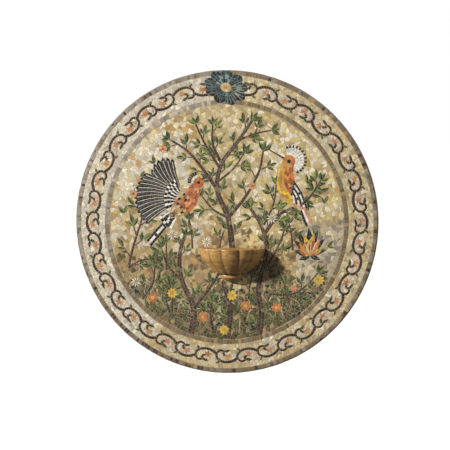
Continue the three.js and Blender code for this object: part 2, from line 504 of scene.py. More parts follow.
def lay_branch(points, widths, rows, every, tuft=True, reach=(26, 50), size=1.0):
    band("tree_stones", TRUNK, points, [width * BRANCH_STOUTNESS for width in widths], pick_bark, 16, rows)
    grow_twigs(points, every * TWIG_CLOSENESS, draw.choice((-1, 1)), reach, size)
    if tuft:
        for turned in (-0.7, 0, 0.65):
            lay_leaf(points[-1], bearing(points[-2], points[-1]) + turned, 36, 52, size)


def lay_trees():
    lay_branch([(-165, -535), (-150, -400), (-205, -270), (-215, -150), (-190, -60)], (27, 12), 2, 62)
    lay_branch([(-150, -400), (-80, -310), (-30, -230), (-20, -196)], (15, 9), 1, 46)
    lay_branch([(-205, -270), (-268, -205), (-300, -120)], (11, 6), 1, 44)
    lay_branch([(5, -540), (20, -400), (-10, -290), (-6, -270)], (25, 16), 2, 50, tuft=False)
    lay_branch([(30, -120), (10, 20), (-40, 150), (-20, 270), (60, 380), (120, 468)], (24, 11), 2, 58)
    lay_branch([(-40, 150), (-110, 250), (-180, 330), (-262, 382)], (15, 7), 1, 52)
    lay_branch([(-20, 270), (-60, 360), (-62, 448)], (12, 6), 1, 46)
    lay_branch([(10, 20), (90, 120), (150, 230), (172, 330)], (14, 7), 1, 50)
    lay_branch([(60, 380), (140, 410), (210, 424)], (9, 5), 1, 44)
    lay_branch([(-28, 250), (-96, 360), (-140, 452)], (11, 6), 1, 44)
    lay_branch([(-34, 190), (36, 250), (84, 320)], (9, 5), 1, 44)
    lay_branch([(176, -10), (220, 90), (232, 176)], (9, 5), 1, 42)
    lay_branch([(10, 20), (-60, 60), (-110, 120)], (10, 5), 1, 44)
    lay_branch([(150, -540), (165, -420), (150, -300), (190, -120), (160, -10), (112, 68)], (25, 11), 2, 60)
    lay_branch([(172, -60), (236, 30), (300, 66), (372, 104), (436, 196)], (15, 6), 1, 44)
    for x, z, angle in [
        (300, 60, -0.6), (326, 78, 0.7), (346, 92, -0.3), (372, 104, -1.0), (392, 130, 0.2),
        (400, 150, 2.4), (352, 88, 1.4), (410, 170, -0.2), (330, 60, -1.3), (364, 84, -1.9),
    ]:
        for turned in (-0.4, 0.45):
            lay_leaf((x, z), angle + turned, 38, 54)
    lay_branch([(-455, -215), (-430, -110), (-395, 0), (-380, 84)], (10, 6), 1, 56, reach=(34, 60), size=1.25)
    lay_branch([(-455, -215), (-400, -180), (-346, -172)], (7, 5), 1, 40)
    lay_branch([(-390, -360), (-340, -280), (-330, -200)], (10, 6), 1, 50, size=1.2)
    lay_branch([(200, -330), (300, -330), (370, -290), (424, -230)], (10, 6), 1, 44)
    lay_branch([(196, -190), (245, -100), (270, -30)], (10, 5), 1, 42)
    lay_branch([(-60, -500), (-72, -430), (-66, -370)], (11, 6), 1, 34, reach=(20, 34))
    lay_branch([(262, -440), (290, -380), (282, -330)], (10, 6), 1, 34, reach=(20, 34))
    lay_branch([(-262, -420), (-280, -350), (-256, -290)], (10, 6), 1, 34, reach=(20, 34))


def lay_undergrowth():
    """Slim shoots with leaves that fill the lower half"""
    for number in range(SHOOT_COUNT):
        x = -460 + 920 * (number * 0.618 % 1) + between(-20, 20)
        z = between(-460, -120)
        lean = between(-36, 36)
        height = between(90, 150)
        top = (x + lean, z + height)
        if max(hypot(x, z), hypot(*top)) > FIELD_RADIUS - 40:
            continue
        lay_branch([(x, z), (x + lean * 0.3, z + height / 2), top], (8, 5), 1, 50, reach=(16, 30), size=0.98)


def lay_loose_leaves():
    """Leaf sprigs that stand alone in the ground"""
    for x, z, angle in [
        (-330, 270, 2.3), (-398, 210, 0.5), (300, 300, 0.9), (330, 250, 2.2), (452, 90, 1.6),
        (420, -60, 2.6), (468, -110, 0.4), (372, 180, 1.2), (-230, 240, 2.6), (-470, 40, 1.9),
    ]:
        for turned in (-0.5, 0.45):
            lay_leaf((x, z), angle + turned, 32, 46)


def lay_body(go, upper, lower, pick, columns=14, rows=7):
    """A bird's body between two curves, where stones are picked by their place along it and down it"""
    top, bottom = (even_points(smooth_points(curve), 1) for curve in (upper, lower))

    def place(column, row):
        a, b = (curve[round((len(curve) - 1) * column / columns / 2)] for curve in (top, bottom))
        return go(mix(a, b, row / rows))

    def pick_at(number, row):
        return pick(max(0, 2 * number - row % 2) / columns / 2, row / (rows - 1))

    lay_rows("bird_stones", BIRD, place, columns * 2, rows, pick_at)


def quill(go, points, widths, pick, spacing):
    """A feather or a beak as a row of stones"""
    scale = distance(go((1, 0)), go((0, 0)))
    band("bird_stones", BIRD, [go(point) for point in points], [width * scale for width in widths], pick,
         spacing)


def lay_head(go, centre, radius, names):
    def place(turn, reach):
        return go(ray(reach, FULL_TURN * turn, centre))

    eye = radius * 0.34
    for index in range(8):
        lay("bird_stones", one_of(names), BIRD, arc_block(place, index / 8, (index + 1) / 8, eye, radius))
    lay("bird_stones", "black", BIRD, [place(index / 8, eye) for index in range(8)])


def lay_wing(go, pivot, angles, count, root, tips, sweep):
    """Long dark feathers side by side, with a thin pale quill down each"""
    start, stop = angles

    def place(share, reach):
        """A point at a share of the fan, where feathers bend back towards their tips"""
        angle = start + (stop - start) * share + sweep * ((reach - root) / 100)**2
        return go(ray(reach, angle, pivot))

    def tip_at(share):
        return tips[0] + (tips[1] - tips[0]) * sin(pi * (0.12 + 0.76 * share))

    for index in range(count):
        share, following = index / count, (index + 1) / count
        tip = tip_at((share + following) / 2)
        cuts = max(3, round((tip - root) / 17))
        levels = [root + (tip - root) * step / cuts for step in range(cuts + 1)]
        stone = "navy" if index % 3 == 1 else "black"
        for low, high in zip(levels, levels[1:]):
            outline = block(place, share, following, low, high)
            if high == levels[-1]:
                outline[1] = place(share, (low + high) / 2)
                outline[2] = place((share + following) / 2, high + 4)
                outline[3] = place(following, (low + high) / 2)
            lay("bird_stones", stone, BIRD, outline)
    for index in range(count):
        middle = (index + 0.5) / count
        tip = tip_at(middle)
        points = [place(middle, reach) for reach in (root, (root + tip) / 2, tip - 10)]
        band("bird_stones", BIRD, points, (2.0, 3.0), always("white"), 17)


def lay_checker_fan(go, pivot, angles, reaches, count):
    """Short covert feathers in rows of white and black by turns"""
    def place(share, reach):
        return go(ray(reach, angles[0] + (angles[1] - angles[0]) * share, pivot))

    for low, high in zip(reaches, reaches[1:]):
        edges = [0]
        while edges[-1] < 1:
            width = (0.85 if len(edges) % 2 else 1.25) * between(0.75, 1.25) / count
            edges.append(min(1, edges[-1] + width))
        for index, (first, second) in enumerate(zip(edges, edges[1:])):
            lay("bird_stones", "black" if index % 2 else "white", BIRD,
                arc_block(place, first, second, low, high))


def lay_flying_bird():
    """A bird in flight with its wings lifted"""
    go = placed((-186, 92), 0.66, 1.12)
    head = (92, 32)
    for offset, stone in ((-10, "black"), (0, "white"), (10, "black")):
        points = [(-70, -10 + offset * 0.5), (-150, -24 + offset), (-226, -40 + offset * 1.1)]
        quill(go, points, (9, 11), barred(stone, "black"), 15)
    lay_wing(go, (4, 10), (2.02, 1.25), 7, 60, (150, 196), -0.06)
    lay_wing(go, (14, 16), (3.02, 1.86), 12, 66, (186, 214), 0.05)
    lay_checker_fan(go, (10, 12), (3.1, 1.45), (40, 53, 66, 79, 92), 15)
    lay_checker_fan(go, (-4, 6), (3.62, 3.02), (62, 74, 88, 99, 113, 124), 5)

    def pick_body(along, down):
        if along < 0.34:
            return one_of("ochre tan umber cream amber")
        if along < 0.6 and down < 0.6:
            return one_of("orange amber umber ochre rust")
        return one_of("orange orange rust rust orange_pale")

    lay_body(go, [(-90, 0), (-44, 28), (10, 34), (56, 42), (84, 46)],
             [(-90, -14), (-44, -36), (14, -38), (64, -10), (92, 14)], pick_body)
    lay_head(go, head, 22, "orange rust rust")
    for index in range(6):
        points = [ray(reach, 1.25 + index * 0.24, head) for reach in (21, 33, 46)]
        quill(go, points, (5, 9), lambda number, row: "black" if number else "white", 12)
    quill(go, [(112, 34), (132, 32), (154, 25)], (9, 3.5), always("umber"), 15)


def lay_perched_bird():
    """A crested bird that sits on a branch"""
    go = placed((292, 150), -0.98, 1.16, -1)
    head = (96, 62)
    for index in range(13):
        angle = 0.45 + index * 2.6 / 12
        length = 46 + 12 * sin(pi * index / 12)
        points = [ray(reach, angle, head) for reach in (24, 38, length + 4)]
        quill(go, points, (6.5, 10.5), always("white"), 14)
        points = [ray(length + reach, angle, head) for reach in (4, 9, 15)]
        quill(go, points, (9, 5), always("black"), 14)
    for offset, stone in ((-10, "black"), (0, "white"), (10, "rose")):
        points = [(-80, 6 + offset * 0.6), (-120, -4 + offset), (-158, -10 + offset * 1.1)]
        quill(go, points, (9, 10), always(stone), 15)

    def pick_body(along, down):
        if down > 0.5 and along > 0.2:
            return one_of("gold amber gold orange_pale")
        if along < 0.22:
            return one_of("rose amber_pale cream")
        return one_of("orange orange rust amber")

    lay_body(go, [(-92, 12), (-40, 36), (20, 38), (62, 60), (82, 80)],
             [(-92, -8), (-36, -36), (36, -34), (88, 6), (110, 44)], pick_body)
    for level in range(6):
        shift = -level * 7
        points = [(22 + shift, 34 + shift), (-36, 32 + shift), (-98 + level * 9, 18 + shift * 0.9)]
        quill(go, points, (7, 6.5), barred("white" if level % 2 else "black", "navy"), 12)
    lay_head(go, head, 25, "orange orange amber")
    quill(go, [(117, 52), (146, 38), (186, 18)], (8, 3.5), always("umber"), 16)


def lay_great_blossom():
    """A ripe orange flower among dark leaves at the end of a branch"""
    foot = (388, -150)
    for angle, length, width in [
        (0.35, 80, 28), (0.85, 104, 30), (1.25, 128, 30), (1.62, 134, 34), (2.0, 126, 30),
        (2.4, 104, 30), (2.85, 78, 28), (3.5, 56, 22), (5.9, 52, 22),
    ]:
        leaf("tree_stones", LEAF, foot, angle, length, width, lambda side: one_of("black dark forest"))
    for angle, length, width in [
        (0.55, 66, 26), (2.65, 64, 26), (1.0, 86, 30), (2.2, 84, 28), (1.38, 104, 32), (1.86, 98, 30),
        (1.6, 76, 28),
    ]:
        leaf("flower_stones", FLOWER, foot, angle, length, width,
             lambda side: one_of("orange amber orange_pale rust gold"))
    for angle in (1.15, 1.5, 2.0):
        stroke = [ray(reach, angle, foot) for reach in (18, 40, 62)]
        band("flower_stones", FLOWER, stroke, (3, 4), always("white"), 14)


def lay_flowers():
    for centre in [(28, -338), (-8, -498), (-250, -330), (430, -262)]:
        blossom(centre, 26, 9, "gold", "amber")
    for centre in [(90, -385), (-108, -440), (236, -392), (-342, -352)]:
        blossom(centre, 26, 9, "orange", "gold")
    blossom((312, -300), 20, 8, "rose", "amber")
    for centre in [(-292, 338), (122, 168), (-430, 130)]:
        blossom(centre, 21, 6, "orange_pale", "rust")
    for centre in [(-250, -60), (-420, -280), (212, 20), (-90, -90)]:
        star(centre, 27, 9, "white", "gold")


def lay_grass():
    """Thin pale and green strokes that bend over in the meadow"""
    for number in range(GRASS_COUNT):
        x = between(-430, 430)
        depth = sqrt(max(0, (FIELD_RADIUS - 26)**2 - x * x))
        top = meadow_line(x) + 26
        if -depth > top - 30:
            continue
        z = between(-depth, top - 30)
        lean = between(-1.1, 1.1)
        length = between(34, 78)
        angle = pi / 2 + lean
        points = [(x, z), ray(length * 0.5, angle, (x, z)), ray(length, angle + lean * 0.4, (x, z))]
        if hypot(*points[-1]) > FIELD_RADIUS - 16:
            continue
        stone = weighted(cream=46, leaf=20, moss=18, tan=16)
        band("meadow_stones", GRASS, points, (2.6, 3.2), always(stone), 20)


# Ground stones of no set shape, fitted round everything else

def meadow_line(x):
    share = (x / PANEL_RADIUS + 1) / 2
    return MEADOW_HEIGHT + MEADOW_SWELL * sin(share * MEADOW_WAVES * FULL_TURN)


def near_figures(margin):
    """A test of whether a point lies on a figure or close to one"""
    samples = []
    for piece, stone, layer, outline in stones:
        if layer == COURSE:
            continue
        samples += outline + [middle_of(outline)]
        for a, b in pairs(outline):
            parts = int(distance(a, b) / 5)
            samples += [mix(a, b, (step + 1) / (parts + 1)) for step in range(parts)]
    tree = KDTree(len(samples))
    for index, (x, z) in enumerate(samples):
        tree.insert((x, z, 0), index)
    tree.balance()
    return lambda point: tree.find((*point, 0))[2] < margin


def scattered(spacing_at, inside):
    """Points in rows, moved at random, at a spacing that may change with the height"""
    reach = PANEL_RADIUS + 60
    points = []
    z = -reach
    row = 0
    while z < reach:
        step = spacing_at(z)
        x = (step / 2 if row % 2 else 0) - reach
        while x < reach:
            point = (x + between(-SCATTER, SCATTER) * step, z + between(-SCATTER, SCATTER) * step)
            if inside(point):
                points.append(point)
            x += step
        z += step * 0.87
        row += 1
    return points


def circle_centre(a, b, c):
    """The point at one distance from three others"""
    double = 2 * (a[0] * (b[1] - c[1]) + b[0] * (c[1] - a[1]) + c[0] * (a[1] - b[1]))
    if abs(double) < 1e-6:
        return None
    squares = [point[0]**2 + point[1]**2 for point in (a, b, c)]
    x = squares[0] * (b[1] - c[1]) + squares[1] * (c[1] - a[1]) + squares[2] * (a[1] - b[1])
    z = squares[0] * (c[0] - b[0]) + squares[1] * (a[0] - c[0]) + squares[2] * (b[0] - a[0])
    return x / double, z / double


def cells_round(seeds, count):
    """The area nearest to each of the first seeds, as outlines"""
    made = delaunay_2d_cdt([Vector(seed) for seed in seeds], [], [], 0, 1e-6)
    corners = [[] for _ in seeds]
    for triangle in made[2]:
        centre = circle_centre(*(made[0][index] for index in triangle))
        if centre:
            for index in triangle:
                corners[made[3][index][0]].append(centre)
    for seed, around in zip(seeds[:count], corners):
        yield seed, sorted(around, key=lambda point: bearing(seed, point))


def split_across(outline, through, angle):
    """The two parts of a convex outline on either side of a line"""
    offsets = [(z - through[1]) * cos(angle) - (x - through[0]) * sin(angle) for x, z in outline]
    first, second = [], []
    for (a, b), (near, far) in zip(pairs(outline), pairs(offsets)):
        (first if near >= 0 else second).append(a)
        if (near >= 0) != (far >= 0):
            crossing = mix(a, b, near / (near - far))
            first.append(crossing)
            second.append(crossing)
    return first, second


def shards(outline, largest):
    """Parts of a stone, split across its length until they are small enough"""
    if abs(area_of(outline)) < largest * between(0.6, 1.7):
        return [outline]
    centre = middle_of(outline)
    tip = max(outline, key=lambda point: distance(point, centre))
    across = bearing(centre, tip) + pi / 2 + between(-0.6, 0.6)
    through = mix(centre, tip, between(-0.2, 0.2))
    first, second = split_across(outline, through, across)
    if len(first) < 3 or len(second) < 3:
        return [outline]
    return shards(first, largest) + shards(second, largest)


def pick_by_patch(point, names, patch=85, strays=0.2):
    """A stone from a row of names, where near places take near stones"""
    palette = names.split()
    value = 0.5 + 0.62 * cloud(point[0] / patch, point[1] / patch, 8.3) + draw.gauss(0, strays)
    return palette[min(len(palette) - 1, max(0, int(value * len(palette))))]


def pick_border_stone(point):
    """Cream outside the scroll's loops and pinkish inside them"""
    turn = (atan2(point[0], point[1]) / FULL_TURN) % 1
    place = turn * SCROLL_UNITS - SCROLL_START
    index = floor(place)
    swing = (hypot(*point) - BORDER_MIDDLE) / SCROLL_SWING * (1 - 2 * (index % 2))
    in_loop = ((place - index - 0.42) / 0.46)**2 + ((swing - 0.05) / 0.95)**2 < 1
    if in_loop and 0 <= index < SCROLL_TURNS:
        return pick_by_patch(point, "pink pink_pale pale pink_pale cream pink_pale", 60)
    if turn > 0.6:
        return pick_by_patch(point, "grey_cream pale grey_cream pale grey_cream pale", 60, 0.14)
    return pick_by_patch(point, "pale cream cream tan_pale cream yellow_cream", 60, 0.14)


def pick_field_stone(point):
    """Cream and yellow above, ochre at the left, grey at the right"""
    x, z = point
    wave = 55 * cloud(x / 130, z / 130, 3.1)
    strays = 0.2
    # Darker stones right of and below the basin: partly the picture's own dark ground, partly painted shadow
    # of the basin
    if ((x - 225) / 85)**2 + ((z + 235) / 80)**2 < 1 + wave / 120:
        names = "moss brown grey_brown ochre olive brown"
    elif x < -60 + wave and z < -150 + wave:
        names = "tan_pale ochre tan tan brown olive brown"
    elif x > 330 + wave and -330 < z < 10:
        names = "grey_pale cream grey_pale grey grey_pale tan_pale"
    elif z > 400 + wave and x < 120:
        names = "cream yellow_cream tan_pale cream ochre ivory"
    elif x < -60 + wave and z < 60 + wave * 2:
        names = "pale cream grey_cream tan_pale cream ochre tan tan_pale"
        strays = 0.18
    elif z < -40 + wave:
        names = "cream yellow_cream tan_pale yellow_cream tan brown"
    elif x < -150 + wave * 2:
        names = "ivory pale grey_cream cream pale tan_pale ochre"
    elif x > 120 - wave:
        names = "ivory cream yellow_cream ivory yellow_cream tan_pale ochre"
    else:
        names = "ivory cream yellow_cream tan_pale cream yellow_cream ochre"
    return pick_by_patch(point, names, strays=strays)


def pick_meadow_stone(point):
    """Olive and grey-green, with a few pale stones near the upper edge"""
    depth = meadow_line(point[0]) - point[1]
    if depth < 30 and draw.random() < 0.45 - depth / 100:
        return one_of("tan ochre tan_pale brown")
    if draw.random() < 0.08:
        return one_of("tan ochre leaf")
    return pick_by_patch(point, "olive olive_grey olive moss brown olive forest grey_brown", 60, 0.24)


def lay_grounds():
    is_near = near_figures(CLEAR_OF_FIGURES)
    seeds = scattered(lambda z: BORDER_SPACING,
                      lambda point: BORDER_INNER + 3 < hypot(*point) < BORDER_OUTER - 3)
    seeds += scattered(lambda z: MEADOW_SPACING if z < MEADOW_HEIGHT else FIELD_SPACING,
                       lambda point: hypot(*point) < FIELD_RADIUS - 3)
    seeds = [seed for seed in seeds if not is_near(seed)]
    count = len(seeds)
    # Seeds outside the grounds keep the cells from growing past the rings
    for radius, number in ((BORDER_OUTER + 12, 300), ((COURSE_OUTER + FIELD_RADIUS) / 2, 260),
                           (MOSAIC_RADIUS + 40, 260)):
        seeds += [on_dial(index / number, radius) for index in range(number)]
    for seed, cell in cells_round(seeds, count):
        if len(cell) < 3:
            continue
        if hypot(*seed) > FIELD_RADIUS:
            piece, pick, largest = "border_ground_stones", pick_border_stone, BORDER_LARGEST
        elif seed[1] < meadow_line(seed[0]):
            piece, pick, largest = "meadow_stones", pick_meadow_stone, MEADOW_LARGEST
        else:
            piece, pick, largest = "picture_ground_stones", pick_field_stone, FIELD_LARGEST
        for shard in shards(cell, largest):
            lay(piece, pick(middle_of(shard)), GROUND, shard)


# From overlapping outlines to stones that fit each other

def outline_loops(triangles):
    """The outlines round a set of triangles, where holes run the other way"""
    sides = {side for triangle in triangles for side in pairs(triangle)}
    onward = {}
    for a, b in sides:
        if (b, a) not in sides:
            onward.setdefault(a, []).append(b)
    while onward:
        loop, at = [], next(iter(onward))
        while at in onward:
            loop.append(at)
            following = onward[at].pop()
            if not onward[at]:
                del onward[at]
            at = following
        yield loop


def fitted_regions():
    """One region for each connected part of a stone that no higher layer covers"""
    numbers, points, outlines = {}, [], []
    for *_, outline in stones:
        indices = []
        for point in outline:
            key = (round(point[0], 2), round(point[1], 2))
            if key not in numbers:
                numbers[key] = len(points)
                points.append(Vector(key))
            if not indices or indices[-1] != numbers[key]:
                indices.append(numbers[key])
        outlines.append(indices)
    made = delaunay_2d_cdt(points, [], outlines, 1, 1e-4)
    corners, triangles, origins = made[0], made[2], made[5]
    owner_of, sides = [], {}
    for number, (triangle, origin) in enumerate(zip(triangles, origins)):
        owner_of.append(max(origin, key=lambda index: (stones[index][2], index)) if origin else None)
        for a, b in pairs(triangle):
            sides.setdefault((min(a, b), max(a, b)), []).append(number)
    neighbours = [[] for _ in triangles]
    for pair in sides.values():
        if len(pair) == 2 and owner_of[pair[0]] == owner_of[pair[1]]:
            neighbours[pair[0]].append(pair[1])
            neighbours[pair[1]].append(pair[0])
    seen = [False] * len(triangles)
    for start, owner in enumerate(owner_of):
        if seen[start] or owner is None:
            continue
        seen[start] = True
        group, waiting = [], [start]
        while waiting:
            at = waiting.pop()
            group.append(triangles[at])
            for near in neighbours[at]:
                if not seen[near]:
                    seen[near] = True
                    waiting.append(near)
        yield owner, [[tuple(corners[index]) for index in loop] for loop in outline_loops(group)]


def simplified(outline, closest=1.0, flattest=0.2):
    """An outline without needless corners"""
    changed = True
    while changed and len(outline) > 3:
        changed = False
        for index in range(len(outline)):
            a, b, c = outline[index - 1], outline[index], outline[(index + 1) % len(outline)]
            base = distance(a, c)
            height = abs((c[0] - a[0]) * (b[1] - a[1]) - (c[1] - a[1]) * (b[0] - a[0])) / base if base else 0
            if distance(a, b) < closest or height < flattest:
                outline = outline[:index] + outline[index + 1:]
                changed = True
                break
    return outline


def turn_at(outline, index):
    """How far an outline turns at a corner, below zero where it is hollow"""
    a, b, c = outline[index - 1], outline[index], outline[(index + 1) % len(outline)]
    return (bearing(b, c) - bearing(a, b) + pi) % FULL_TURN - pi


def crosses(a, b, c, d):
    def side(p, q, r):
        return (q[0] - p[0]) * (r[1] - p[1]) - (q[1] - p[1]) * (r[0] - p[0])

    return side(a, b, c) * side(a, b, d) < 0 and side(c, d, a) * side(c, d, b) < 0


def holds(outline, point):
    """Whether a point lies inside an outline"""
    inside = False
    for a, b in pairs(outline):
        if (a[1] > point[1]) != (b[1] > point[1]):
            if point[0] < a[0] + (point[1] - a[1]) * (b[0] - a[0]) / (b[1] - a[1]):
                inside = not inside
    return inside


def cut_hollows(outline):
    """Cuts a stone from its hollow corners, as a real one is split"""
    size = len(outline)
    hollow = [index for index in range(size) if turn_at(outline, index) < HOLLOW_TURN]
    if not hollow or size < 5:
        return [outline]
    start = min(hollow, key=lambda index: turn_at(outline, index))
    around = outline[start:] + outline[:start]
    best, best_length = None, None
    for step in range(2, size - 1):
        origin, target = around[0], around[step]
        if any(crosses(origin, target, a, b) for a, b in pairs(outline)):
            continue
        if not holds(outline, mix(origin, target, 0.5)):
            continue
        length = distance(origin, target) * (0.7 if (start + step) % size in hollow else 1)
        if best is None or length < best_length:
            best, best_length = step, length
    if best is None:
        return [outline]
    return cut_hollows(around[:best + 1]) + cut_hollows(around[best:] + around[:1])


def inset(outline, amounts):
    """An outline moved inwards, each side by its own amount, or None where it closes up"""
    lines = []
    for (a, b), amount in zip(pairs(outline), amounts):
        normal = normal_to(a, b)
        lines.append((normal, normal[0] * a[0] + normal[1] * a[1] + amount))
    moved = []
    for index, corner in enumerate(outline):
        (first, first_reach), (second, second_reach) = lines[index - 1], lines[index]
        cross = first[0] * second[1] - first[1] * second[0]
        if abs(cross) < 0.17:
            x = corner[0] + (first[0] + second[0]) / 2 * amounts[index]
            z = corner[1] + (first[1] + second[1]) / 2 * amounts[index]
        else:
            x = (first_reach * second[1] - second_reach * first[1]) / cross
            z = (first[0] * second_reach - second[0] * first_reach) / cross
        moved.append((x, z))
    for (a, b), (c, d) in zip(pairs(outline), pairs(moved)):
        if (b[0] - a[0]) * (d[0] - c[0]) + (b[1] - a[1]) * (d[1] - c[1]) <= 0:
            return None
    return moved


def cut_to_fit(outline, joint):
    """A stone with half a joint cut off all round, and the outline of its worn top"""
    width = sqrt(abs(area_of(outline)))
    half = min(joint / 2, width * 0.07)
    for share in (1, 0.6, 0.3):
        body = inset(outline, [half * share * between(0.7, 1.5) for _ in outline])
        if body and area_of(body) > SMALLEST_STONE * 0.6:
            break
    else:
        return None
    for share in (1, 0.5, 0.25):
        top = inset(body, [min(STONE_ARRIS, width * 0.07) * share * between(0.8, 1.3) for _ in body])
        if top and area_of(top) > 0:
            return body, top
    return None


def is_large(outline):
    return len(outline) > 2 and area_of(outline) >= SMALLEST_STONE


def fitted_stones():
    """Every stone of every piece, as a name, the outline of its body and that of its top"""
    fitted = {}
    for owner, loops in fitted_regions():
        piece, stone, layer, _ = stones[owner]
        joint = STONE_JOINT if layer in (GROUND, COURSE) else FINE_JOINT
        for outline in [simplified(loop) for loop in loops if is_large(loop)]:
            if not is_large(outline):
                continue
            for part in [simplified(part) for part in cut_hollows(outline)]:
                fit = cut_to_fit(part, joint) if is_large(part) else None
                if fit:
                    fitted.setdefault(piece, []).append((stone, *fit))
    return fitted


# Materials

def linear(*colour):
    """A colour as an eye sees it, from 0 to 255, as the linear values that a shader takes"""
    shares = [value / 255 for value in colour]
    return (*(value / 12.92 if value <= 0.04045 else ((value + 0.055) / 1.055)**2.4 for value in shares), 1)


def shade(colour, factor):
    return tuple(max(0, min(255, value * factor)) for value in colour)


class Nodes:
    """Builds a material in short calls, where body is its colour so far"""

    def __init__(self, name):
        self.material = bpy.data.materials.new(name)
        self.material.use_nodes = True
        self.tree = self.material.node_tree
        self.tree.nodes.clear()
        self.shader = self.add("BsdfPrincipled")
        self.add("OutputMaterial", {"Surface": self.shader.outputs["BSDF"]})

    def put(self, socket, value):
        """Links a socket to another node's output, or sets it to a plain value"""
        if isinstance(value, bpy.types.NodeSocket):
            self.tree.links.new(value, socket)
        else:
            socket.default_value = value

    def add(self, kind, inputs=(), **settings):
        node = self.tree.nodes.new("ShaderNode" + kind)
        for key, value in settings.items():
            setattr(node, key, value)
        for key, value in dict(inputs).items():
            self.put(node.inputs[key], value)
        return node

    def attribute(self, name, output="Fac"):
        return self.add("Attribute", attribute_name=name).outputs[output]

    def own_space(self):
        return self.add("TexCoord").outputs["Object"]

    def stone_space(self):
        """The object's own coordinates, moved on for each stone so that no vein crosses a joint"""
        inputs = {0: self.attribute("shift", "Vector"), 1: (3.1, 5.7, 4.3), 2: self.own_space()}
        return self.add("VectorMath", inputs, operation="MULTIPLY_ADD").outputs["Vector"]

    def noise(self, space, scale, detail=3.0, roughness=0.55, distortion=0.0):
        return self.add("TexNoise", {"Vector": space, "Scale": scale, "Detail": detail,
                                     "Roughness": roughness, "Distortion": distortion}).outputs["Fac"]

    def ramp(self, source, *stops):
        """Colours along a value, each stop a place with a grey or with a colour from 0 to 255"""
        node = self.add("ValToRGB", {"Fac": source})
        elements = node.color_ramp.elements
        while len(elements) < len(stops):
            elements.new(0.5)
        for element, (place, value) in zip(elements, stops):
            element.position = place
            element.color = linear(*value) if isinstance(value, tuple) else (value, value, value, 1)
        return node.outputs["Color"]

    def blend(self, kind, amount, colour):
        """Mixes a colour into the body"""
        node = self.add("Mix", data_type="RGBA", blend_type=kind)
        sockets = {entry.name: entry for entry in node.inputs if entry.enabled}
        self.put(sockets["Factor"], amount)
        self.put(sockets["A"], self.body)
        self.put(sockets["B"], linear(*colour) if isinstance(colour, tuple) else colour)
        self.body = [entry for entry in node.outputs if entry.enabled][0]

    def finish(self, bump, strength, depth, **values):
        """Puts the body and the bump into the shader, and its other values by their names"""
        bump = self.add("Bump", {"Strength": strength, "Distance": depth, "Height": bump})
        self.put(self.shader.inputs["Base Color"], self.body)
        self.put(self.shader.inputs["Normal"], bump.outputs["Normal"])
        for name, value in values.items():
            self.put(self.shader.inputs[name.replace("_", " ")], value)
        return self.material


STONE_COLOURS = dict(
    cream=(203, 188, 150), pale=(210, 202, 181), ivory=(220, 209, 184), yellow_cream=(199, 179, 124),
    pink=(196, 170, 148), pink_pale=(206, 188, 168), ochre=(180, 147, 92), tan=(156, 130, 88),
    tan_pale=(182, 160, 118), brown=(124, 102, 70), grey_brown=(120, 106, 82), grey=(140, 130, 114),
    grey_pale=(182, 170, 148), grey_cool=(152, 141, 132), grey_cream=(200, 190, 172), umber=(64, 49, 40),
    dark=(48, 39, 33), bark=(76, 59, 50), bark_red=(84, 60, 53), leaf=(76, 98, 44), bright=(118, 134, 56),
    moss=(64, 66, 34), forest=(38, 54, 36), olive=(84, 78, 42), olive_grey=(73, 71, 43),
    orange=(196, 110, 56), orange_pale=(206, 146, 96), rust=(160, 80, 48), rose=(198, 134, 104),
    amber=(206, 146, 72), amber_pale=(206, 174, 112), gold=(214, 176, 56), black=(36, 35, 36),
    navy=(52, 58, 70), white=(226, 222, 212), teal=(52, 76, 78), teal_deep=(36, 56, 64),
    teal_pale=(120, 142, 142),
)
VEIN_COLOURS = dict(
    cream=(176, 150, 110), ivory=(190, 170, 134), pink=(168, 128, 100), grey=(90, 84, 78),
    grey_brown=(78, 66, 56), yellow_cream=(170, 138, 78),
)
DARK_STONES = ("black", "navy", "dark", "umber", "forest", "teal", "teal_deep")
TONE_SPREAD = 0.11
VEIN_AMOUNT = 0.3


def make_stone(name, colour):
    """Cut stone: a tone for each stone, soft clouds, fine veins and grain"""
    build = Nodes(name + "_stone")
    space = build.stone_space()
    tones = [(0.0, -1.5), (0.35, -0.4), (0.7, 0.4), (1.0, 1.2)]
    build.body = build.ramp(build.attribute("tone"),
                            *((place, shade(colour, 1 + TONE_SPREAD * step)) for place, step in tones))
    clouds = build.ramp(build.noise(space, 75, 4, 0.6, 0.6), (0.3, 0.87), (0.5, 1), (0.72, 1.08))
    build.blend("MULTIPLY", 1.0, clouds)
    veins = build.ramp(build.noise(space, 120, 5, 0.65, 2.2), (0.45, 0), (0.5, VEIN_AMOUNT), (0.55, 0))
    build.blend("MIX", veins, VEIN_COLOURS.get(name) or shade(colour, 0.72))
    grain = build.ramp(build.noise(space, 1100, 2, 0.5), (0.32, 0.82), (0.5, 1), (0.7, 1.1))
    build.blend("MULTIPLY", 0.6, grain)
    polish = 0.36 if name in DARK_STONES else 0.46
    gloss = build.ramp(build.noise(space, 210), (0.3, polish - 0.08), (0.7, polish + 0.14))
    return build.finish(build.noise(space, 420, 4, 0.65), 0.22, 0.0005, Roughness=gloss,
                        Specular_IOR_Level=0.42)


def make_mortar():
    build = Nodes("mortar")
    space = build.own_space()
    build.body = build.ramp(build.noise(space, 9, 4), (0.3, (144, 129, 100)), (0.55, (168, 153, 122)),
                            (0.8, (190, 177, 148)))
    sand = build.ramp(build.noise(space, 900), (0.35, 0.7), (0.5, 1), (0.68, 1.15))
    build.blend("MULTIPLY", 0.8, sand)
    return build.finish(build.noise(space, 700, 4), 0.6, 0.0006, Roughness=0.9)


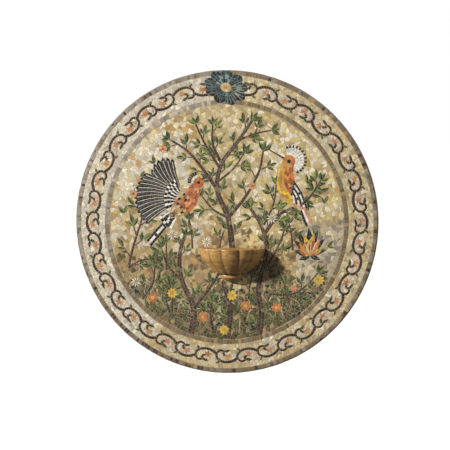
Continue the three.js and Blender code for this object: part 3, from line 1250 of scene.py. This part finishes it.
def make_cement():
    build = Nodes("slab_cement")
    space = build.own_space()
    build.body = build.ramp(build.noise(space, 5, 6, 0.6, 0.4), (0.25, (92, 88, 82)), (0.5, (116, 111, 103)),
                            (0.75, (136, 130, 120)))
    sand = build.ramp(build.noise(space, 600, 4), (0.35, 0.72), (0.5, 1), (0.68, 1.14))
    build.blend("MULTIPLY", 0.85, sand)
    streaks = build.ramp(build.noise(space, 26, 5, 0.7, 1.5), (0.46, 0), (0.56, 0.5), (0.64, 0))
    build.blend("MIX", streaks, (158, 152, 142))
    return build.finish(build.noise(space, 320, 6, 0.65), 0.7, 0.0012, Roughness=0.88)


def make_basin_stone():
    """Golden-brown limestone in soft layers, polished, with painted shade in its grooves, neck and hollow,
    and a reddish tint with painted shade on its boss
    """
    build = Nodes("basin_stone")
    space = build.own_space()
    stretch = {"Vector": space, "Scale": (1.0, 1.0, 3.4), "Rotation": (0.10, 0.16, 0.0)}
    layered = build.add("Mapping", stretch).outputs["Vector"]
    build.body = build.ramp(build.noise(layered, 16, 6, 0.62, 1.1), (0.25, (126, 92, 50)),
                            (0.45, (160, 122, 68)), (0.6, (180, 140, 82)), (0.8, (204, 166, 104)))
    clouds = build.ramp(build.noise(space, 60, 5, 0.6, 0.8), (0.3, 0.84), (0.5, 1), (0.72, 1.12))
    build.blend("MULTIPLY", 0.9, clouds)
    veins = build.ramp(build.noise(layered, 34, 7, 0.7, 2.6), (0.47, 0), (0.5, 0.55), (0.53, 0))
    build.blend("MIX", veins, (96, 66, 38))
    pits = build.ramp(build.noise(space, 330, 2, 0.5), (0.27, 0.55), (0.33, 1), (1.0, 1))
    build.blend("MULTIPLY", 1.0, pits)
    # The boss below the neck: a reddish tint of its own, darkened further as painted shade on the underside
    build.blend("MIX", build.attribute("foot_tint_and_shade"), (132, 88, 58))
    # Painted shade: a dark brown in the grooves, at the neck, down the bowl and deep in the hollow
    build.blend("MIX", build.attribute("painted_shade"), (72, 50, 30))
    gloss = build.ramp(build.noise(space, 90, 4), (0.3, 0.36), (0.7, 0.50))
    return build.finish(build.noise(space, 260, 5, 0.6), 0.12, 0.0006, Roughness=gloss, Coat_Weight=0.12,
                        Coat_Roughness=0.34)


# Meshes

def new_object(name, data):
    made = bpy.data.objects.new(name, data)
    bpy.context.scene.collection.objects.link(made)
    return made


def new_mesh(name, verts, faces):
    """A mesh from corners in millimetres"""
    mesh = bpy.data.meshes.new(name)
    mesh.from_pydata([(x * MM, y * MM, z * MM) for x, y, z in verts], [], faces)
    return mesh


def new_piece(name, verts, faces, materials, slot_name, replaced=(), smooth=False):
    mesh = new_mesh(name, verts, faces)
    mesh.validate()
    for material in materials:
        mesh.materials.append(material)
    mesh.shade_flat()
    if smooth:
        mesh.shade_smooth()
    piece = new_object(name, mesh)
    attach(piece, "root")
    if replaced:
        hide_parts(*replaced)
    return piece


def loft_faces(levels, count):
    """Faces between equal rings of corners, with both ends closed"""
    faces = []
    for level in range(levels - 1):
        for index in range(count):
            a, b = level * count + index, level * count + (index + 1) % count
            faces.append([a, b, b + count, a + count])
    faces.append(list(range(count)))
    faces.append([(levels - 1) * count + index for index in reversed(range(count))])
    return faces


def build_stones(name, cut_stones, materials, slot_name, replaced=()):
    """All the stones of one piece, each a closed block with a worn top edge"""
    names = sorted({stone for stone, body, top in cut_stones})
    verts, faces, kinds, tones, shifts, maps = [], [], [], [], [], []
    for stone, body, top in cut_stones:
        centre = middle_of(top)
        tone = min(1, max(0, draw.gauss(0.5, 0.24)))
        shift = [draw.random() for _ in range(3)]
        tilt = (draw.gauss(0, SLOPE), draw.gauss(0, SLOPE))
        width = max(distance(point, centre) for point in body)
        sunk = between(0, UNEVEN) + width * (abs(tilt[0]) + abs(tilt[1]))
        first, count = len(verts), len(body)

        def level(x, z, drop):
            lean = (x - centre[0]) * tilt[0] + (z - centre[1]) * tilt[1]
            return x, -(FACE - sunk - drop + lean), z

        verts += [(x, -(FACE - STONE_DEPTH), z) for x, z in body]
        verts += [level(x, z, ARRIS_DROP) for x, z in body]
        verts += [level(x, z, 0) for x, z in top]
        made = [[first + index for index in reversed(range(count))],
                [first + 2 * count + index for index in range(count)]]
        for low in (first, first + count):
            for index in range(count):
                following = (index + 1) % count
                made.append([low + index, low + following, low + count + following, low + count + index])
        faces += made
        kinds += [names.index(stone)] * len(made)
        tones += [tone] * len(made)
        shifts += shift * len(made)
        maps += [centre] + [None] * (len(made) - 1)
    piece = new_piece(name, verts, faces, [materials[stone] for stone in names], slot_name, replaced)
    mesh = piece.data
    mesh.polygons.foreach_set("material_index", kinds)
    mesh.attributes.new("tone", "FLOAT", "FACE").data.foreach_set("value", tones)
    mesh.attributes.new("shift", "FLOAT_VECTOR", "FACE").data.foreach_set("vector", shifts)
    add_face_map(mesh, maps)


def add_face_map(mesh, maps):
    """A flat map of the panel's face, where a stone's hidden underside is folded into its middle"""
    layer = mesh.uv_layers.new(name="OFBake")
    span = 2 * PANEL_RADIUS
    places = []
    for polygon, centre in zip(mesh.polygons, maps):
        for vertex in polygon.vertices:
            x, _, z = mesh.vertices[vertex].co / MM
            if centre:
                x, z = centre
            places += [x / span + 0.5, z / span + 0.5]
    layer.data.foreach_set("uv", places)


def outward(piece):
    """Turns every face of a closed body to the outside"""
    mesh = bmesh.new()
    mesh.from_mesh(piece.data)
    bmesh.ops.recalc_face_normals(mesh, faces=mesh.faces)
    mesh.to_mesh(piece.data)
    mesh.free()


def turned_profile(name, profile, count, wobble, material, slot_name, replaced=()):
    """A closed body turned about the panel's axis, from pairs of radius and depth"""
    verts = []
    for radius, depth in profile:
        for index in range(count):
            x, z = on_dial(index / count, radius)
            move = wobble(x, z, depth)
            verts.append((x + move[0], -depth + move[1], z + move[2]))
    faces = loft_faces(len(profile), count)
    outward(new_piece(name, verts, faces, [material], slot_name, replaced, smooth=True))


def build_slab():
    """The cement slab, with a floated edge, small chips and a flat back"""
    front = -slab_low[1]
    edge = PANEL_RADIUS - 0.1
    tray = MOSAIC_RADIUS + 0.1
    recess = BED_BACK + 0.4
    profile = [(PANEL_RADIUS * share, 0) for share in (0.02, 0.3, 0.6, 0.85, 0.97)]
    profile += [(PANEL_RADIUS - 1.6, 0.0), (PANEL_RADIUS - 0.5, 0.6), (edge, 2.0)]
    profile += [(edge, depth) for depth in (8, 15, 22, 29, front - 2.2)]
    profile += [(PANEL_RADIUS - 0.7, front - 0.7), (PANEL_RADIUS - 1.9, front - 0.1)]
    profile += [(tray + 0.9, front - 0.1), (tray, front - 0.8)]
    profile += [(tray * share, recess) for share in (1, 0.9, 0.5, 0.02)]

    def wobble(x, z, depth):
        reach = hypot(x, z)
        if depth < 0.01 or reach < tray + 0.2:
            return 0, 0, 0
        inwards = -(0.5 + cloud(x / 22, z / 22, depth / 14) * 0.5) * 0.9
        chip = max(0, cloud(x / 16, z / 16, 7) - 0.42) * 7
        if depth > front - 6:
            inwards -= chip
        return inwards * x / reach, min(0.5, chip * 0.4) if depth > front - 3 else 0, inwards * z / reach

    turned_profile("backing_slab_cast", profile, 720, wobble, make_cement(), "slab_cement", ["backing_slab"])


def build_mortar():
    """The bed between the stones, a little lower than their tops"""
    top = FACE - MORTAR_DROP
    rim = MOSAIC_RADIUS - 0.1
    profile = [(rim * share, BED_BACK + 0.6) for share in (0.02, 0.5, 1)]
    profile += [(rim, top - 1)]
    profile += [(rim - 0.6 - (rim - 20) * step / 40, top) for step in range(41)]

    def wobble(x, z, depth):
        return 0, 0 if depth < top - 0.5 else cloud(x / 9, z / 9, 2) * 0.35, 0

    turned_profile("mortar_bed", profile, 240, wobble, make_mortar(), "cream_stone")


# The basin, with the same forms as its solid and finer carving

BASIN_CENTRE = 28
RIM_HEIGHT = -117
BACK_GAP = 0.3
BASIN_BACK = -(FACE + BACK_GAP)
OVERLAP = 2.0
BOWL_HALF_WIDTH = 149
BOWL_REACH = 113
BOWL_TAPER_DEPTH = 158
NECK_DEPTH = 119
BOSS_HALF_WIDTH = 52
BOSS_DEPTH = 158
BOSS_PROFILE = [(0.0, 0.93), (0.1, 0.96), (0.22, 1), (0.45, 1), (0.7, 0.8), (0.9, 0.48), (1, 0.2)]
WALL = 18
CAVITY_DEPTH = 95
PLATE_THICKNESS = 16
PLATE_MARGIN = 4
RIM_BEVEL = 3
LOBE_EDGES = (0, 43.5, 72.5, 107.5, 136.5, 180)
FLUTE_DEPTH = 0.095
LOBE_ROUNDNESS = 0.6
GROOVE_SHARPNESS = 0.35
VOXEL = 1.6


def flute_at(angle):
    """How deep a groove cuts at an angle round the bowl, from 0 on a lobe to 1 in a groove"""
    place = degrees(angle)
    for low, high in zip(LOBE_EDGES, LOBE_EDGES[1:]):
        if low <= place <= high:
            bulge = sin(pi * (place - low) / (high - low))
            return LOBE_ROUNDNESS * (1 - bulge) + (1 - LOBE_ROUNDNESS) * (1 - bulge**GROOVE_SHARPNESS)
    return 1


def boss_width(drop):
    share = (max(NECK_DEPTH, drop) - NECK_DEPTH) / (BOSS_DEPTH - NECK_DEPTH)
    for (low, first), (high, second) in zip(BOSS_PROFILE, BOSS_PROFILE[1:]):
        if share <= high:
            return BOSS_HALF_WIDTH * (first + (second - first) * (share - low) / (high - low))
    return BOSS_HALF_WIDTH * BOSS_PROFILE[-1][1]


def bowl_width(drop):
    return BOWL_HALF_WIDTH * (1 - (drop / BOWL_TAPER_DEPTH)**2) - max(0, RIM_BEVEL - drop)


def half_ring(drop, width, reach, fluting, back=OVERLAP, steps=90):
    """Corners of a half ring at one height, from one wall end to the other"""
    corners = []
    for step in range(steps + 1):
        angle = pi * step / steps
        share = 1 - fluting * FLUTE_DEPTH * flute_at(angle)
        corners.append((width * share * cos(angle), back - reach * share * sin(angle), -drop))
    return corners


def front_ring(drop, width, fluting):
    return half_ring(drop, width, width * BOWL_REACH / BOWL_HALF_WIDTH, fluting)


def loft(name, rings):
    """A closed body from rings of corners, one below the other"""
    verts = [corner for ring in rings for corner in ring]
    piece = new_object(name, new_mesh(name, verts, loft_faces(len(rings), len(rings[0]))))
    outward(piece)
    return piece


def bake_modifiers(piece):
    """Keeps the shape that the modifiers make, and drops the modifiers"""
    shown = piece.evaluated_get(bpy.context.evaluated_depsgraph_get())
    mesh = bpy.data.meshes.new_from_object(shown)
    piece.modifiers.clear()
    old, piece.data = piece.data, mesh
    bpy.data.meshes.remove(old)


def cut(target, operation, name, rings):
    """Joins a body to another one, or cuts it away from it"""
    tool = loft(name, rings)
    modifier = target.modifiers.new(operation, "BOOLEAN")
    modifier.operation = operation
    modifier.solver = "EXACT"
    modifier.object = tool
    bake_modifiers(target)
    bpy.data.objects.remove(tool)


def slab_ring(half, front, back, drop):
    return [(-half, back, -drop), (half, back, -drop), (half, front, -drop), (-half, front, -drop)]


def cavity_ring(turn):
    """A ring of the hollow, whose first one stands above the rim so that the cut is clean"""
    share = max(0.02, cos(turn))
    drop = CAVITY_DEPTH * sin(turn) if turn else -6
    width = (BOWL_HALF_WIDTH - WALL) * share
    reach = (BOWL_REACH - WALL - PLATE_THICKNESS) * share
    return half_ring(drop, width, reach, 0.5, back=-PLATE_THICKNESS, steps=72)


def basin_blank():
    """The bowl, its boss and its wall plate joined, hollowed out and cut flat at the back"""
    levels = [0, RIM_BEVEL] + [NECK_DEPTH * step / 40 for step in range(2, 41)]
    rings = [front_ring(drop, bowl_width(drop), 1 - 0.45 * drop / NECK_DEPTH) for drop in levels]
    bowl = loft("basin_carved", rings)
    levels = [NECK_DEPTH - 3 + (BOSS_DEPTH - NECK_DEPTH + 3) * step / 30 for step in range(31)]
    cut(bowl, "UNION", "boss", [front_ring(drop, boss_width(drop), 0) for drop in levels])
    plate = []
    for drop in [NECK_DEPTH * 0.9 * step / 24 for step in range(25)]:
        half = bowl_width(drop) + PLATE_MARGIN * (1 - drop / NECK_DEPTH)
        plate.append(slab_ring(half, -PLATE_THICKNESS, OVERLAP, drop))
    cut(bowl, "UNION", "plate", plate)
    cut(bowl, "DIFFERENCE", "hollow", [cavity_ring(pi / 2 * ring / 24) for ring in range(25)])
    cut(bowl, "DIFFERENCE", "back", [slab_ring(400, 0, 60, drop) for drop in (-100, 400)])
    return bowl


def painted_shade_at(point):
    """How much painted shade lies at a point of the basin: in its grooves, at its neck, towards its foot and
    deep in its hollow
    """
    x, y, z = point
    drop = -z
    angle = min(pi, max(0, atan2(-y / BOWL_REACH, x / BOWL_HALF_WIDTH)))
    groove = max(0, flute_at(angle) - 0.48) / 0.52
    outside = hypot(x / BOWL_HALF_WIDTH, y / BOWL_REACH) > (1 - (drop / BOWL_TAPER_DEPTH)**2) * 0.9
    amount = 0.95 * groove**1.2 if outside and 2 < drop < NECK_DEPTH else 0
    amount += 0.5 * exp(-((drop - NECK_DEPTH - 1) / 3.2)**2)
    amount += 0.22 * max(0, min(1, drop / NECK_DEPTH) - 0.45)
    if not outside and drop > 6:
        amount += 0.25 * min(1, drop / 60)
    return min(1, amount)


def build_basin():
    """The half basin, worn smooth, with fine tool marks and pits"""
    piece = basin_blank()
    remesh = piece.modifiers.new("remesh", "REMESH")
    remesh.mode = "VOXEL"
    remesh.voxel_size = VOXEL * MM
    bake_modifiers(piece)
    mesh = bmesh.new()
    mesh.from_mesh(piece.data)
    for _ in range(3):
        bmesh.ops.smooth_vert(mesh, verts=mesh.verts, factor=0.5, use_axis_x=True, use_axis_y=True,
                              use_axis_z=True)
    mesh.normal_update()
    for vert in mesh.verts:
        x, y, z = vert.co / MM
        if y > -0.8:
            continue
        wave = cloud(x / 24, y / 24, z / 24) * 0.7
        marks = cloud(x / 5, y / 5, z / 5) * 0.16
        worn = max(0, cloud(x / 11, y / 11, z / 9 + 5) - 0.45) * 2.2
        vert.co += vert.normal * (wave - 0.7 + marks - worn) * MM
    place = Vector((BASIN_CENTRE, BASIN_BACK, RIM_HEIGHT)) * MM
    low = Vector(basin_low) * MM
    high = Vector(basin_high) * MM
    # Painted shade for the grooves, the neck, the lower bowl and the deep hollow
    painted_shade = mesh.verts.layers.float.new("painted_shade")
    foot_tint_and_shade = mesh.verts.layers.float.new("foot_tint_and_shade")
    for vert in mesh.verts:
        vert[painted_shade] = painted_shade_at(vert.co / MM)
        # Reddish tint with painted shade, from the neck down over the boss
        vert[foot_tint_and_shade] = 0.35 * min(1, max(0, (-vert.co.z / MM - NECK_DEPTH) / 12))
        vert.co = Vector(min(max(value, a), b) for value, a, b in zip(vert.co + place, low, high))
    mesh.to_mesh(piece.data)
    mesh.free()
    piece.data.shade_smooth()
    piece.data.materials.clear()
    piece.data.materials.append(make_basin_stone())
    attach(piece, "root")
    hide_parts("basin")


# Stage, lights and camera, in metres and watts

AMBIENT = 0.215
BACKDROP = 1.0
FLOOR_HALF = 60
FLOOR_HEIGHT = -1.32
LIGHTS = [
    ("key", (-10.5, -6.0, 5.4), 0.9, 3350, (1.0, 0.98, 0.95)),
    ("back_fill", (1.6, 3.2, 2.2), 2.0, 130, (1, 1, 1)),
    ("side_fill", (6.5, -1.2, 1.5), 3.0, 85, (1, 1, 1)),
]
IMAGE_WIDTH = 450
SENSOR = 36
CAMERA_DISTANCE = 8.0
CAMERA_YAW = 5.7
CAMERA_RISE = 4.0
PIXEL = 4.604 * MM
PANEL_PIXEL = (226.0, 222.5)


def build_stage():
    """A plain floor that looks white to the camera alone"""
    sides = ((-1, -1), (1, -1), (1, 1), (-1, 1))
    corners = [(x * FLOOR_HALF, y * FLOOR_HALF, FLOOR_HEIGHT) for x, y in sides]
    mesh = bpy.data.meshes.new("floor")
    mesh.from_pydata(corners, [], [(0, 1, 2, 3)])
    floor = new_object("floor", mesh)
    build = Nodes("pale_floor")
    for name, value in {
        "Base Color": (0.12, 0.12, 0.12, 1), "Roughness": 0.9, "Specular IOR Level": 0.0,
        "Emission Color": (1, 1, 1, 1), "Emission Strength": build.add("LightPath").outputs["Is Camera Ray"],
    }.items():
        build.put(build.shader.inputs[name], value)
    mesh.materials.append(build.material)


def aimed(name, data, place, direction):
    """A light or a camera that looks in a direction"""
    made = new_object(name, data)
    made.location = place
    made.rotation_euler = direction.to_track_quat("-Z", "Y").to_euler()
    return made


def build_lights():
    for name, place, size, power, colour in LIGHTS:
        lamp = bpy.data.lights.new(name, "AREA")
        lamp.shape = "DISK"
        lamp.size = size
        lamp.energy = power
        lamp.color = colour
        aimed(name, lamp, place, -Vector(place))
    world = bpy.data.worlds.new("studio")
    world.use_nodes = True
    add, link = world.node_tree.nodes.new, world.node_tree.links.new
    world.node_tree.nodes.clear()
    choice = add("ShaderNodeMixShader")
    link(add("ShaderNodeLightPath").outputs["Is Camera Ray"], choice.inputs["Fac"])
    for socket, strength in ((1, AMBIENT), (2, BACKDROP)):
        light = add("ShaderNodeBackground")
        light.inputs["Color"].default_value = (1, 1, 1, 1)
        light.inputs["Strength"].default_value = strength
        link(light.outputs["Background"], choice.inputs[socket])
    link(choice.outputs["Shader"], add("ShaderNodeOutputWorld").inputs["Surface"])
    scene = bpy.context.scene
    scene.world = world
    scene.view_settings.view_transform = "Standard"
    scene.view_settings.look = "None"
    scene.view_settings.exposure = 0.0


def build_camera():
    """Placed so that the panel's centre falls on its pixel of the photograph"""
    yaw, rise = radians(CAMERA_YAW), radians(CAMERA_RISE)
    back = Vector((sin(yaw) * cos(rise), -cos(yaw) * cos(rise), sin(rise)))
    data = bpy.data.cameras.new("camera")
    data.sensor_width = SENSOR
    data.lens = SENSOR * CAMERA_DISTANCE / (PIXEL * IMAGE_WIDTH)
    data.shift_x = -(PANEL_PIXEL[0] - IMAGE_WIDTH / 2) / IMAGE_WIDTH
    data.shift_y = (PANEL_PIXEL[1] - IMAGE_WIDTH / 2) / IMAGE_WIDTH
    centre = Vector((0, -FACE * MM, 0))
    bpy.context.scene.camera = aimed("camera", data, centre + back * CAMERA_DISTANCE, -back)


# Everything is put together

build_camera()
build_lights()
build_stage()

lay_course("outer_course_stones", BORDER_OUTER + JOINT, MOSAIC_RADIUS - 0.2, OUTER_COUNT, pick_course_stone)
lay_course("inner_course_stones", FIELD_RADIUS + JOINT, COURSE_OUTER, INNER_COUNT, pick_inner_stone)
# A part of a unit at each end runs on under the crest
for unit in range(-1, SCROLL_TURNS + 1):
    lay_scroll_unit(unit)
lay_undergrowth()
lay_trees()
lay_loose_leaves()
lay_great_blossom()
lay_flying_bird()
lay_perched_bird()
lay_flowers()
lay_grass()
lay_grounds()
lay_crest()

PIECES = {
    "outer_course_stones": ("brown_stone", ["outer_course"]),
    "border_ground_stones": ("cream_stone", ["border_ground"]),
    "border_scroll_stones": ("dark_stone", ["border_scroll"]),
    "inner_course_stones": ("brown_stone", ["inner_course"]),
    "picture_ground_stones": ("yellow_stone", ["picture_ground"]),
    "meadow_stones": ("olive_stone", ["picture_meadow"]),
    "crest_flower_stones": ("teal_stone", ["crest_flower"]),
    "tree_stones": ("dark_stone", []),
    "bird_stones": ("dark_stone", []),
    "flower_stones": ("yellow_stone", []),
}
stone_materials = {name: make_stone(name, colour) for name, colour in STONE_COLOURS.items()}
for piece_name, cut_stones in fitted_stones().items():
    slot_name, replaced_nodes = PIECES[piece_name]
    build_stones(piece_name, cut_stones, stone_materials, slot_name, replaced_nodes)
build_slab()
build_mortar()
build_basin()
